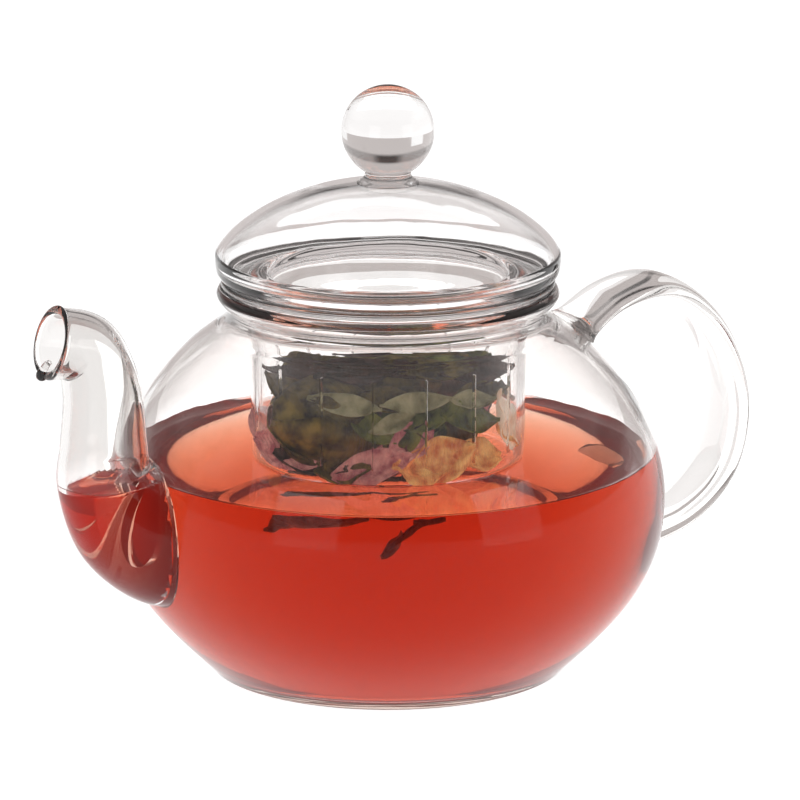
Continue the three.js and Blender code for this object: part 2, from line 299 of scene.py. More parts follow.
def spout_rings(start, end, inset, steps):
    rings = []
    for i in range(steps + 1):
        place = start + (end - start) * i / steps
        swell = lip_swell(place)
        rings.append(spout_ring(place, girth(place) + (swell if inset == 0 else swell * 0.6) - inset))
    return rings


TIP = 0.992
outside = spout_rings(0, TIP, 0, 90)
inside = spout_rings(TIP, 0, SPOUT_WALL, 90)
outer_r, inner_r = girth(TIP) + lip_swell(TIP), girth(TIP) + lip_swell(TIP) * 0.6 - SPOUT_WALL
edge = []
for k in range(1, 8):
    turn = math.pi * k / 8
    middle, half = (outer_r + inner_r) / 2, (outer_r - inner_r) / 2
    edge.append(spout_ring(TIP + 0.014 * math.sin(turn), middle + half * math.cos(turn)))
spout = loft("spout_glass", outside + edge + inside, wrap=True)
carve(spout, bowl_blank("blank", 0.35))


def tip_point(turn, radius, forward):
    """Point by the spout's mouth: turn in degrees from its top, forward along its axis."""
    centre = Vector(spout_line[-1])
    ahead = (centre - Vector(spout_line[-3])).normalized()
    up = Vector((0, 1, 0)).cross(ahead)
    a = math.radians(turn)
    return centre + up * (radius * math.cos(a)) + Vector((0, 1, 0)) * (radius * math.sin(a)) + ahead * forward


def worm(name, path, girths, sides=20):
    """Closed round rod along a few points, with a radius at each."""
    stations = catmull([(*p, r) for p, r in zip(path, girths)], 6)
    line = [Vector(p[:3]) for p in stations]
    rings = []
    for i, p in enumerate(line):
        ahead = (line[min(i + 1, len(line) - 1)] - line[max(i - 1, 0)]).normalized()
        side = ahead.cross(Vector((0.2, 1.0, 0.1))).normalized()
        up = ahead.cross(side)
        r = stations[i][3]
        rings.append([
            tuple(p + side * (r * math.cos(2 * math.pi * k / sides)) + up * (r * math.sin(2 * math.pi * k / sides)))
            for k in range(sides)
        ])
    return loft(name, [[tuple(line[0])], *rings, [tuple(line[-1])]])


# Drip tongue pinched out of the bottom of the mouth and curled back into it.
tongue = worm("tongue", [
    tip_point(171, 7.2, -2.2), tip_point(174, 7.5, -0.6), tip_point(180, 7.5, 0.7), tip_point(188, 6.2, 1.0),
    tip_point(192, 4.7, 0.3), tip_point(184, 4.4, -0.6),
], (0.5, 1.0, 1.25, 0.95, 0.75, 0.5))
carve(spout, tongue, "UNION", "MANIFOLD")
notch = worm("notch", [tip_point(-3, 9.8, 0.2), tip_point(0, 8.4, 0.1), tip_point(3, 7.3, -0.6)], (1.1, 0.6, 0.25))
carve(spout, notch, "DIFFERENCE", "MANIFOLD")
crisp(spout)

# ---- handle ----
handle_line = catmull([(a, 0.0, z) for a, z in HANDLE], 16)
first = Vector(handle_line[0]) + (Vector(handle_line[0]) - Vector(handle_line[2])).normalized() * 2.6
last = Vector(handle_line[-1]) + (Vector(handle_line[-1]) - Vector(handle_line[-3])).normalized() * 2.6
handle_line = [tuple(first), *handle_line, tuple(last)]


def bowl_radius(z):
    """Outer radius of the bowl at a height."""
    for (r0, z0), (r1, z1) in zip(wall_outside, wall_outside[1:]):
        if z0 <= z <= z1:
            return r0 + (r1 - r0) * (z - z0) / max(z1 - z0, 1e-9)
    return wall_outside[-1][0]


def bar_ring(i, sides=72):
    centre = Vector(handle_line[i])
    before = Vector(handle_line[max(i - 1, 0)])
    after = Vector(handle_line[min(i + 1, len(handle_line) - 1)])
    along = (after - before).normalized()
    up = along.cross(Vector((0, 1, 0)))
    clear = centre.x - bowl_radius(centre.z)
    gather = math.exp(-max(clear, 0) / 2.6)
    thick = HANDLE_HALF_THICK + 1.5 * gather
    wide = HANDLE_HALF_WIDE + 1.5 * gather
    ring = []
    for k in range(sides):
        t = 2 * math.pi * k / sides
        c, s = math.cos(t), math.sin(t)
        x = math.copysign(abs(c) ** 0.8, c) * thick
        y = math.copysign(abs(s) ** 0.8, s) * wide
        ring.append(tuple(centre + up * x + Vector((0, 1, 0)) * y))
    return ring


bar = [bar_ring(i) for i in range(len(handle_line))]
handle = loft("handle_glass", [[handle_line[0]], *bar, [handle_line[-1]]])
carve(handle, bowl_blank("blank", 0.35))
crisp(handle)

# ---- infuser ----
inner_r = INFUSER_R - INFUSER_WALL
cup_outline = rounded([
    (0, 46.0, 0), (INFUSER_R, 46.0, 4.0), (INFUSER_R, 87.6, 0.9), (COLLAR_R, 87.6, 0.7), (COLLAR_R, 89.1, 0.7),
    (inner_r, 89.1, 0.6), (inner_r, 47.6, 2.4), (0, 47.6, 0),
])
cup = lathe("infuser_glass", cup_outline)


SLIT_WIDE = 0.24  # fire-polished slits close up to less than their cut width


def slot_cutter(turn):
    half = SLIT_WIDE / 2
    outline = []
    for k in range(9):
        a = math.pi * k / 8
        outline.append((half * math.cos(a), SLOT_HIGH_Z - half + half * math.sin(a)))
    for k in range(9):
        a = math.pi + math.pi * k / 8
        outline.append((half * math.cos(a), SLOT_LOW_Z + half + half * math.sin(a)))
    rings = []
    for reach in (26.0, 34.0):
        rings.append([
            (reach * math.cos(turn) - y * math.sin(turn), reach * math.sin(turn) + y * math.cos(turn), z)
            for y, z in outline
        ])
    middle = (SLOT_LOW_Z + SLOT_HIGH_Z) / 2
    caps = [[(reach * math.cos(turn), reach * math.sin(turn), middle)] for reach in (26.0, 34.0)]
    return loft("slot", [caps[0], *rings, caps[1]])


cutters = [slot_cutter((i + 0.5) / SLOTS * 2 * math.pi) for i in range(SLOTS)]
for i in range(DRAIN_HOLES):
    a = i / DRAIN_HOLES * 2 * math.pi
    cutters.append(lathe("hole", [(0, 44), (DRAIN_HOLE_R, 44), (DRAIN_HOLE_R, 50), (0, 50)], 24,
                         centre=(DRAIN_RING_R * math.cos(a), DRAIN_RING_R * math.sin(a))))
carve(cup, join("cutters", cutters))
crisp(cup)

# ---- lid ----
crown = quarter(LID_R, LID_WIDE_Z, 0, LID_WIDE_Z + DOME_RISE, DOME_POWER, 64, False)
crown_inside = [p for p in offset(crown[:-1], LID_WALL) if p[0] > 0.4]
roll = catmull([(35.2, 89.4), (36.6, 89.42), (37.7, 89.75), (38.4, 90.6), (38.78, 92.2), crown[0]], 6)
skirt = rounded([
    (35.2, 89.4, 0), (SKIRT_R, 89.4, 1.0), (SKIRT_R, SKIRT_LOW_Z, 0.9), (SKIRT_R - LID_WALL, SKIRT_LOW_Z, 0.9),
    (SKIRT_R - LID_WALL, 91.2, 1.6), (34.4, 91.2, 0),
])
hollow = catmull([(34.4, 91.2), (35.8, 91.7), (36.7, 93.0), crown_inside[0]], 6)
lid = lathe("lid_glass", [(0, LID_WIDE_Z + DOME_RISE), *crown[:-1][::-1], *roll[::-1][1:], *skirt[1:], *hollow[1:],
                          *crown_inside[1:], (0, LID_WIDE_Z + DOME_RISE - LID_WALL)])
crisp(lid)


def dome_height(r):
    for (r0, z0), (r1, z1) in zip(crown, crown[1:]):
        if r1 <= r <= r0:
            return z0 + (z1 - z0) * (r0 - r) / max(r0 - r1, 1e-9)
    return crown[-1][1]


ball_from = math.asin(-0.86)
ball = []
for k in range(61):
    a = ball_from + (math.pi / 2 - ball_from) * k / 60
    ball.append((max(KNOB_R * math.cos(a), 0.0), KNOB_Z + KNOB_R * math.sin(a)))
ball[-1] = (0, KNOB_Z + KNOB_R)
under = [(r, dome_height(r) - 0.3) for r in (0, 2, 4, 6.6)]
stem = catmull([(7.0, dome_height(7.0) + 0.05), (6.2, 111.5), (5.45, 112.1), (5.2, 112.9), ball[0]], 6)
knob = lathe("knob_glass", [*under, *stem, *ball[1:]], 128)
crisp(knob)

# ---- tea ----
tea_wall = [p for p in offset(wall_outside, BOWL_WALL - 0.15) if p[1] > 4.2 and p[1] < TEA_Z + 1.3]
tea_top_r = tea_wall[-1][0]
tea_floor = [(0, 2.75), (20, 2.7), (34, 2.55), (38.4, 2.75)]
surface = []
for k in range(28):
    d = 9.0 * (k / 27) ** 1.6
    surface.append((tea_top_r - d, TEA_Z + 1.3 * math.exp(-d / 1.3)))
tea = lathe("tea", [*catmull([*tea_floor, tea_wall[0]], 6)[:-1], *tea_wall[:-1], *surface, (20, TEA_Z), (0, TEA_Z)])
spout_tea = loft("spout_tea", [[spout_line[0]], *spout_rings(0, 0.75, SPOUT_WALL - 0.15, 70),
                               [spout_line[int(0.75 * (len(spout_line) - 1))]]])
dish = [(r, TEA_Z + up) for r, up in ((0, 0), (4, 0), (6, 0.04), (7.4, 0.2), (8.3, 0.5), (9.0, 1.0), (9.5, 1.6), (20, 2.2))]
dish += [(20, 95), (0, 95)]
carve(spout_tea, lathe("dish", dish, 64, centre=(-69.9, 0.0)))
carve(spout_tea, bowl_blank("blank", 0.15))
carve(tea, side_drill(SPOUT_HOLE_R + 0.12, 55, 63.5), "UNION")
carve(tea, spout_tea, "UNION")
crisp(tea)


# ---- where glass meets tea ----
WET = "wet"  # 1 on a face with tea on its open side, and on the tea's own free surface


def mark(obj, test):
    values = [1.0 if test(face) else 0.0 for face in obj.data.polygons]
    attribute = obj.data.attributes.new(WET, "FLOAT", "FACE")
    attribute.data.foreach_set("value", values)


tea_tree = BVHTree.FromPolygons([v.co for v in tea.data.vertices], [tuple(p.vertices) for p in tea.data.polygons])
PROBES = (Vector((0.36, 0.81, 0.46)), Vector((-0.52, 0.33, 0.79)), Vector((0.71, -0.62, 0.33)))


def in_tea(point):
    """Whether a point lies inside the tea, by counting walls crossed on the way out, best of three."""
    votes = 0
    for probe in PROBES:
        start, crossings = point, 0
        while True:
            hit = tea_tree.ray_cast(start, probe)[0]
            if hit is None:
                break
            crossings += 1
            start = hit + probe * (0.001 * MM)
        votes += crossings % 2
    return votes >= 2


def touches_tea(face):
    return face.center.z < (TEA_Z + 3) * MM and in_tea(face.center + face.normal * (0.4 * MM))


for piece in (bowl, spout, cup):
    mark(piece, touches_tea)
mark(tea, lambda face: face.normal.z > 0.6 and face.center.z > (TEA_Z - 0.05) * MM)


# ---- materials ----
GLASS_INDEX, TEA_INDEX = 1.47, 1.333


def principled(name):
    material = bpy.data.materials.new(name)
    material.use_nodes = True
    return material, material.node_tree.nodes, material.node_tree.links, material.node_tree.nodes["Principled BSDF"]


def index_by_touch(nodes, links, shader, dry, wet):
    """Refractive index of a face: against air, or against tea."""
    touch = nodes.new("ShaderNodeAttribute")
    touch.attribute_name = WET
    blend = nodes.new("ShaderNodeMapRange")
    blend.inputs["To Min"].default_value = dry
    blend.inputs["To Max"].default_value = wet
    links.new(touch.outputs["Fac"], blend.inputs["Value"])
    links.new(blend.outputs["Result"], shader.inputs["IOR"])


def above_tea(nodes, links, below, above):
    """Colour that changes from one to another just over the tea line."""
    coords = nodes.new("ShaderNodeTexCoord")
    split = nodes.new("ShaderNodeSeparateXYZ")
    level = nodes.new("ShaderNodeMapRange")
    level.interpolation_type = "SMOOTHSTEP"
    level.inputs["From Min"].default_value = (TEA_Z + 0.5) * MM
    level.inputs["From Max"].default_value = (TEA_Z + 8.0) * MM
    blend = nodes.new("ShaderNodeMix")
    blend.data_type = "RGBA"
    blend.inputs["A"].default_value = (*below, 1)
    blend.inputs["B"].default_value = (*above, 1)
    links.new(coords.outputs["Object"], split.inputs["Vector"])
    links.new(split.outputs["Z"], level.inputs["Value"])
    links.new(level.outputs["Result"], blend.inputs["Factor"])
    return blend.outputs["Result"]


def glass(name, grey=22.0, wave=0.02, scale=45.0, shine=1.0, tint=(1, 1, 1), dips=False, grey_above_tea=None):
    """Hand-blown borosilicate: a faint waviness in the surface, a little absorption that darkens long paths."""
    material, nodes, links, shader = principled(name)
    shader.inputs["Base Color"].default_value = (*tint, 1)
    # shine below 1 paints the reflections dimmer than clear glass gives them: painted shade over the reflections.
    shader.inputs["Specular Tint"].default_value = (shine, shine, shine, 1)
    if grey_above_tea:
        # Above the tea line the glass is greyed and its reflections are full. Below that line the reflections stay
        # painted dimmer, over the tea.
        links.new(above_tea(nodes, links, tint, grey_above_tea), shader.inputs["Base Color"])
        links.new(above_tea(nodes, links, (shine,) * 3, (1.0, 1.0, 1.0)), shader.inputs["Specular Tint"])
    shader.inputs["Transmission Weight"].default_value = 1.0
    shader.inputs["IOR"].default_value = GLASS_INDEX
    if dips:
        index_by_touch(nodes, links, shader, GLASS_INDEX, GLASS_INDEX / TEA_INDEX)
    coords = nodes.new("ShaderNodeTexCoord")
    ripple = nodes.new("ShaderNodeTexNoise")
    ripple.inputs["Scale"].default_value = scale
    ripple.inputs["Detail"].default_value = 1.5
    smear = nodes.new("ShaderNodeMapRange")
    smear.inputs["To Min"].default_value = 0.0
    smear.inputs["To Max"].default_value = 0.03
    smear.inputs["From Min"].default_value = 0.45
    smear.inputs["From Max"].default_value = 0.8
    bump = nodes.new("ShaderNodeBump")
    bump.inputs["Strength"].default_value = wave
    bump.inputs["Distance"].default_value = 0.01
    links.new(coords.outputs["Object"], ripple.inputs["Vector"])
    links.new(ripple.outputs["Fac"], bump.inputs["Height"])
    links.new(ripple.outputs["Fac"], smear.inputs["Value"])
    links.new(smear.outputs["Result"], shader.inputs["Roughness"])
    links.new(bump.outputs["Normal"], shader.inputs["Normal"])
    if grey:
        absorb = nodes.new("ShaderNodeVolumeAbsorption")
        absorb.inputs["Color"].default_value = (0.50, 0.47, 0.45, 1)
        absorb.inputs["Density"].default_value = grey
        links.new(absorb.outputs["Volume"], nodes["Material Output"].inputs["Volume"])
    return material


def finish_piece(obj, body, material, nodes=()):
    obj.data.materials.clear()
    obj.data.materials.append(material)
    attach(obj, body)
    if nodes:
        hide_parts(*nodes)


finish_piece(bowl, "pot", glass("bowl_glass", grey=18.0, shine=0.35, dips=True, grey_above_tea=(0.88, 0.865, 0.855)), ("pot_bowl", "mouth_rim"))
finish_piece(spout, "pot", glass("spout_glass", grey=13.0, shine=0.45, dips=True, grey_above_tea=(0.86, 0.85, 0.84)), ("spout", "spout_lip"))
finish_piece(handle, "pot", glass("bar_glass", grey=10.0, wave=0.006, tint=(0.84, 0.825, 0.815)),
             ("handle", "handle_upper_weld", "handle_lower_weld"))
finish_piece(cup, "infuser", glass("infuser_glass", grey=10.0, shine=0.3, dips=True), ("infuser_cup", "infuser_collar"))
finish_piece(lid, "lid", glass("lid_glass", grey=3.0, shine=0.7), ("lid_dome", "lid_skirt"))
finish_piece(knob, "lid", glass("knob_glass", grey=14.0, wave=0.004), ("knob_stem", "knob_ball"))


def liquid(name, colour, density):
    material, nodes, links, shader = principled(name)
    shader.inputs["Base Color"].default_value = (1, 1, 1, 1)
    shader.inputs["Transmission Weight"].default_value = 1.0
    shader.inputs["Roughness"].default_value = 0.0
    shader.inputs["IOR"].default_value = TEA_INDEX
    index_by_touch(nodes, links, shader, 1.0, TEA_INDEX)
    absorb = nodes.new("ShaderNodeVolumeAbsorption")
    absorb.inputs["Color"].default_value = (*colour, 1)
    absorb.inputs["Density"].default_value = density
    # Painted glow: the tea's volume emits red light everywhere, over five times as strongly in the spout. It stands in
    # for light the brew scatters towards the eye.
    glow = nodes.new("ShaderNodeEmission")
    glow.inputs["Color"].default_value = (1.0, 0.05, 0.02, 1)
    coords = nodes.new("ShaderNodeTexCoord")
    split = nodes.new("ShaderNodeSeparateXYZ")
    # Painted glow strength: 1.9 in the bowl, rising to 10.5 in the spout.
    painted_glow_in_spout = nodes.new("ShaderNodeMapRange")
    painted_glow_in_spout.inputs["From Min"].default_value = -0.056
    painted_glow_in_spout.inputs["From Max"].default_value = -0.066
    painted_glow_in_spout.inputs["To Min"].default_value = 1.9
    painted_glow_in_spout.inputs["To Max"].default_value = 10.5
    links.new(coords.outputs["Object"], split.inputs["Vector"])
    links.new(split.outputs["X"], painted_glow_in_spout.inputs["Value"])
    links.new(painted_glow_in_spout.outputs["Result"], glow.inputs["Strength"])
    brew = nodes.new("ShaderNodeAddShader")
    links.new(absorb.outputs["Volume"], brew.inputs[0])
    links.new(glow.outputs["Emission"], brew.inputs[1])
    links.new(brew.outputs["Shader"], nodes["Material Output"].inputs["Volume"])
    return material


finish_piece(tea, "pot", liquid("tea", (0.770, 0.30, 0.033), 60.0))


# ---- leaves, buds and petals in the infuser ----
def mottled(name, low, high, scale=300.0, roughness=0.5, veins=0.35, through=0.0):
    """Two colours blended by a fine noise, with a raised vein-like bump; through is painted glow: emission in the
    material's own colours, standing in for light that comes from behind.
    """
    material, nodes, links, shader = principled(name)
    coords = nodes.new("ShaderNodeTexCoord")
    spots = nodes.new("ShaderNodeTexNoise")
    spots.inputs["Scale"].default_value = scale
    spots.inputs["Detail"].default_value = 5.0
    ramp = nodes.new("ShaderNodeValToRGB")
    ramp.color_ramp.elements[0].position = 0.36
    ramp.color_ramp.elements[0].color = (*low, 1)
    ramp.color_ramp.elements[1].position = 0.66
    ramp.color_ramp.elements[1].color = (*high, 1)
    lines = nodes.new("ShaderNodeTexWave")
    lines.inputs["Scale"].default_value = scale * 1.2
    lines.inputs["Distortion"].default_value = 6.0
    bump = nodes.new("ShaderNodeBump")
    bump.inputs["Strength"].default_value = veins
    bump.inputs["Distance"].default_value = 0.0004
    links.new(coords.outputs["Object"], spots.inputs["Vector"])
    links.new(coords.outputs["Object"], lines.inputs["Vector"])
    links.new(spots.outputs["Fac"], ramp.inputs["Fac"])
    links.new(ramp.outputs["Color"], shader.inputs["Base Color"])
    links.new(lines.outputs["Fac"], bump.inputs["Height"])
    links.new(bump.outputs["Normal"], shader.inputs["Normal"])
    # Painted glow: the colour is also emitted, at strength through.
    links.new(ramp.outputs["Color"], shader.inputs["Emission Color"])
    shader.inputs["Emission Strength"].default_value = through
    shader.inputs["Roughness"].default_value = roughness
    return material


OLIVE = mottled("leaf_olive", (0.045, 0.032, 0.012), (0.36, 0.26, 0.05), 260.0)
GREEN = mottled("leaf_green", (0.022, 0.034, 0.008), (0.34, 0.36, 0.07), 220.0, through=0.05)
PLUM = mottled("leaf_plum", (0.030, 0.012, 0.010), (0.17, 0.08, 0.06), 260.0)
BROWN = mottled("bud_brown", (0.07, 0.030, 0.018), (0.36, 0.17, 0.13), 260.0, through=0.05)
PINK = mottled("petal_pink", (0.42, 0.10, 0.12), (0.92, 0.42, 0.36), 330.0, 0.45, 0.7, through=0.26)
CORAL = mottled("petal_coral", (0.60, 0.15, 0.05), (1.0, 0.55, 0.20), 330.0, 0.45, 0.7, through=0.34)
PALE = mottled("petal_pale", (0.80, 0.50, 0.32), (1.0, 0.86, 0.70), 220.0, 0.45, through=0.35)
STRAW = mottled("leaf_straw", (0.22, 0.20, 0.08), (0.66, 0.60, 0.34), 260.0, through=0.10)
TWIG = mottled("twig", (0.020, 0.010, 0.006), (0.10, 0.05, 0.03), 500.0, 0.7)

draw = random.Random(7)


def blade(name, length, width, curl, cup, material, place, turn, tilt, roll, ripple=0.12, thick=0.28, point=1.0):
    """Leaf or petal: a closed curved shell, pointed where point is 1 and round where it is 0."""
    rows, cols = 18, 10
    top = []
    seed = draw.random() * 50
    for i in range(rows + 1):
        u = i / rows
        shape = math.sin(math.pi * min(max(u, 0.02), 0.98)) ** (0.55 + 0.45 * point)
        half = width / 2 * shape
        bend = curl * (u - 0.5)
        x = length * (math.sin(bend) / curl if abs(curl) > 1e-3 else u - 0.5)
        z0 = length * ((1 - math.cos(bend)) / curl if abs(curl) > 1e-3 else 0)
        row = []
        for j in range(cols + 1):
            v = 2 * j / cols - 1
            y = half * v
            lift = cup * half * v * v
            lift += ripple * width * noise.noise(Vector((u * 3 + seed, v * 1.6, seed))) * (0.4 + abs(v))
            row.append(Vector((x - math.sin(bend) * lift, y, z0 + math.cos(bend) * lift)))
        top.append(row)
    count = (rows + 1) * (cols + 1)
    flat = [p for row in top for p in row]
    normals = []
    for i in range(rows + 1):
        for j in range(cols + 1):
            du = top[min(i + 1, rows)][j] - top[max(i - 1, 0)][j]
            dv = top[i][min(j + 1, cols)] - top[i][max(j - 1, 0)]
            n = du.cross(dv)
            normals.append(n.normalized() if n.length > 1e-9 else Vector((0, 0, 1)))
    verts = flat + [p - n * thick for p, n in zip(flat, normals)]
    faces = []
    w = cols + 1
    for i in range(rows):
        for j in range(cols):
            a, b, c, d = i * w + j, i * w + j + 1, (i + 1) * w + j + 1, (i + 1) * w + j
            faces.append((a, b, c, d))
            faces.append((a + count, d + count, c + count, b + count))
    for i in range(rows):
        for j in (0, cols):
            a, d = i * w + j, (i + 1) * w + j
            faces.append((a, d, d + count, a + count) if j == 0 else (d, a, a + count, d + count))
    for j in range(cols):
        for i in (0, rows):
            a, b = i * w + j, i * w + j + 1
            faces.append((b, a, a + count, b + count) if i == 0 else (a, b, b + count, a + count))
    obj = make(name, place_points(verts, place, turn, tilt, roll), faces)
    obj.data.materials.append(material)
    return obj


def place_points(points, place, turn, tilt, roll):
    """Roll about X, tilt about Y, turn about Z (degrees), then move."""
    cr, sr = math.cos(math.radians(roll)), math.sin(math.radians(roll))
    ct, st = math.cos(math.radians(tilt)), math.sin(math.radians(tilt))
    cz, sz = math.cos(math.radians(turn)), math.sin(math.radians(turn))
    out = []
    for x, y, z in points:
        y, z = y * cr - z * sr, y * sr + z * cr
        x, z = x * ct + z * st, -x * st + z * ct
        x, y = x * cz - y * sz, x * sz + y * cz
        out.append((x + place[0], y + place[1], z + place[2]))
    return out


def bud(name, length, radius, place, turn, tilt, skins):
    """Dried rosebud: petals wound round each other, tight at the core, over a small green cup."""
    parts = []
    for layer, (count, spread, reach) in enumerate(((3, 0.62, 1.0), (4, 0.82, 0.97), (5, 1.0, 0.9))):
        for k in range(count):
            phase = k / count * 2 * math.pi + layer * 0.7 + draw.uniform(-0.2, 0.2)
            rows, cols = 14, 10
            grid = []
            for i in range(rows + 1):
                u = i / rows
                along = length * reach * u
                body = math.sin(math.pi * (0.06 + 0.86 * u)) ** 0.8
                open_out = 1 + 0.10 * layer * u * u
                row = []
                for j in range(cols + 1):
                    v = 2 * j / cols - 1
                    lobe = math.sin(math.pi * min(0.12 + 0.80 * u, 1.0)) ** 0.5
                    a = phase + v * lobe * (1.5 - 0.22 * layer)
                    r = radius * spread * body * open_out * (1 - 0.10 * v) + 0.25 * layer
                    r += 0.5 * noise.noise(Vector((a * 1.3, u * 3, layer * 5 + k)))
                    tip = 0.10 * length * (1 - v * v) * u
                    row.append(Vector((along + tip - length / 2, r * math.cos(a), r * math.sin(a))))
                grid.append(row)
            parts.append((grid, layer))
    objs = []
    for index, (grid, layer) in enumerate(parts):
        rows, cols = len(grid) - 1, len(grid[0]) - 1
        count = (rows + 1) * (cols + 1)
        flat = [p for row in grid for p in row]
        inner = [Vector((p.x, p.y * 0.93, p.z * 0.93)) for p in flat]
        w = cols + 1
        faces = []
        for i in range(rows):
            for j in range(cols):
                a, b, c, d = i * w + j, i * w + j + 1, (i + 1) * w + j + 1, (i + 1) * w + j
                faces.append((a, b, c, d))
                faces.append((a + count, d + count, c + count, b + count))
        for i in range(rows):
            a, d = i * w, (i + 1) * w
            faces.append((a, d, d + count, a + count))
            a, d = i * w + cols, (i + 1) * w + cols
            faces.append((d, a, a + count, d + count))
        for j in range(cols):
            faces.append((j + 1, j, j + count, j + 1 + count))
            a = rows * w + j
            faces.append((a, a + 1, a + 1 + count, a + count))
        petal = make(f"{name}_petal", place_points(flat + inner, place, turn, tilt, 0), faces)
        petal.data.materials.append(skins[min(layer, len(skins) - 1)])
        objs.append(petal)
    return objs


def stick(points, radius):
    """Closed tapering twig along a few points."""
    line = [Vector(p) for p in catmull(points, 6)]
    rings = []
    for i, p in enumerate(line):
        along = (line[min(i + 1, len(line) - 1)] - line[max(i - 1, 0)]).normalized()
        side = along.cross(Vector((0.3, 0.2, 1))).normalized()
        up = along.cross(side)
        r = radius * (1.15 - 0.5 * i / len(line)) * (1 + 0.25 * noise.noise(p * 0.6))
        rings.append([tuple(p + side * (r * math.cos(k * math.pi / 4)) + up * (r * math.sin(k * math.pi / 4))) for k in range(8)])
    return loft("stick", [[tuple(line[0])], *rings, [tuple(line[-1])]])


# The camera sees the pot from in front and to the left; these are the directions to its right and towards it, seen from above.
VIEW_AZ = math.radians(-27.5)
RIGHT = Vector((math.cos(VIEW_AZ), math.sin(VIEW_AZ), 0))
NEAR = Vector((math.sin(VIEW_AZ), -math.cos(VIEW_AZ), 0))


def spot(right, near, z):
    p = RIGHT * right + NEAR * near
    return (p.x, p.y, z)


FACING = math.degrees(VIEW_AZ)
charge = []
charge += bud("bud_a", 25, 9.2, spot(-14, 16.5, 59.5), FACING + 12, 10, [BROWN, BROWN, OLIVE])
charge += bud("bud_b", 19, 7.0, spot(6, 16, 57.5), FACING + 70, -20, [PINK, BROWN, GREEN])
charge += bud("bud_c", 20, 7.6, spot(14, -8, 58), FACING + 150, 10, [PINK, PINK, BROWN])
charge += bud("bud_d", 20, 7.4, spot(-8, -14, 58.5), FACING - 100, 14, [PINK, BROWN, OLIVE])
charge += bud("bud_e", 18, 6.8, spot(2, 2, 64.5), FACING + 20, -8, [BROWN, OLIVE, OLIVE])
petals = []
for right, near, z, length, width, material, turn, tilt, roll in (
    (-22, 19, 53.5, 17, 9, PINK, -30, 14, 62),
    (-17, 22, 51.2, 18, 8, PLUM, -18, 6, 35),
    (-3, 26, 51.6, 19, 8, PINK, -3, -16, 62),
    (-10, 25.5, 50.6, 13, 7, OLIVE, 5, -4, 50),
    (12, 25, 53.0, 16, 10, CORAL, 12, -18, 64),
    (19, 21, 52.6, 13, 8, CORAL, 30, 12, 56),
    (7, 26.5, 51.0, 13, 8, CORAL, 8, 6, 45),
    (5, 24, 57.0, 12, 8, PINK, 20, -30, 62),
    (24.5, 14, 59.5, 16, 8, PALE, 55, 68, 70),
    (25.5, 10, 55.5, 12, 8, CORAL, 65, 30, 55),
    (-26, 8, 56.0, 15, 9, PINK, -70, 20, 50),
    (0, 15, 49.6, 18, 13, PINK, 25, 2, 8),
    (10, 8, 49.8, 16, 12, CORAL, 80, 2, -6),
    (-12, 5, 49.6, 18, 13, PINK, 130, 3, 6),
    (4, -12, 49.8, 17, 12, PINK, 200, 3, 6),
    (16, -14, 52.5, 16, 12, CORAL, 150, 8, -45),
    (-14, -20, 52.5, 17, 12, PINK, 205, -6, -48),
    (-24, -8, 54.0, 15, 11, CORAL, 255, 8, -40),
    (2, -25, 53.5, 18, 12, PINK, 180, 5, -52),
):
    petals.append(blade("petal", length, width, 0.9, 0.35, material, spot(right, near, z), FACING + turn, tilt, roll, 0.26, 0.25, 0.4))
leaves = []
for right, near, z, length, width, material, turn, tilt, roll in (
    (-17, 12, 69.0, 22, 6, PLUM, 2, 4, 20),
    (-5, 16, 70.5, 24, 8, PLUM, -4, -3, 30),
    (9, 14, 70.0, 22, 7, OLIVE, 8, 4, 24),
    (19, 12, 69.5, 17, 7, PLUM, 10, -5, 40),
    (-8, 6, 69.5, 26, 10, OLIVE, 15, 2, -10),
    (11, 3, 69.5, 26, 9, GREEN, -18, -2, 8),
    (8, 22, 62.5, 17, 8, GREEN, 4, -18, 60),
    (17, 19.5, 61.0, 16, 8, GREEN, 34, 14, 55),
    (12, 21, 58.0, 15, 7, OLIVE, 18, 10, 62),
    (19, 16, 65.0, 16, 6, OLIVE, 30, -8, 45),
    (0, 22, 65.5, 16, 6, OLIVE, -6, 8, 50),
    (-22, 17, 66.5, 14, 6, OLIVE, -38, 24, 42),
    (-9, 24, 65.4, 17, 5, STRAW, -14, 6, 66),
    (6, 25, 66.0, 16, 4.5, STRAW, 6, -4, 64),
    (18, 20.5, 65.6, 12, 4, STRAW, 30, 5, 60),
    (1, 25.5, 61.5, 11, 4, STRAW, 2, -22, 66),
    (-4, 23, 60.0, 14, 6, GREEN, -4, 32, 60),
    (24, 6, 64.0, 18, 8, OLIVE, 80, 20, 40),
    (0, -20, 64.5, 24, 12, GREEN, 185, 5, -50),
    (-20, -14, 62.0, 22, 11, OLIVE, 230, 10, -42),
    (18, -16, 64.0, 22, 11, GREEN, 140, -8, -42),
    (-6, -8, 69.5, 27, 10, PLUM, 60, 3, 6),
    (12, -10, 68.5, 25, 9, OLIVE, 120, -3, -8),
):
    leaves.append(blade("leaf", length, width, 0.8, 0.35, material, spot(right, near, z), FACING + turn, tilt, roll, 0.18, 0.3, 1.0))
twigs = []
for points, radius in (
    ((spot(3, 27, 49.5), spot(8, 26, 49.2), spot(14, 24, 49.8)), 0.7),
    ((spot(-6, 24, 48.9), spot(2, 26, 49.0), spot(9, 22, 49.4)), 0.6),
    ((spot(3, 12, 47.2), spot(1, 15, 42.5), spot(-1.5, 17, 38.8)), 0.75),
    ((spot(-22, 14, 45.0), spot(-15, 16, 44.0), spot(-8, 16, 44.5)), 0.9),
    ((spot(-16, 18, 70.5), spot(-4, 22, 72.0), spot(6, 20, 70.5)), 0.6),
):
    twig = stick(points, radius)
    twig.data.materials.append(TWIG)
    twigs.append(twig)


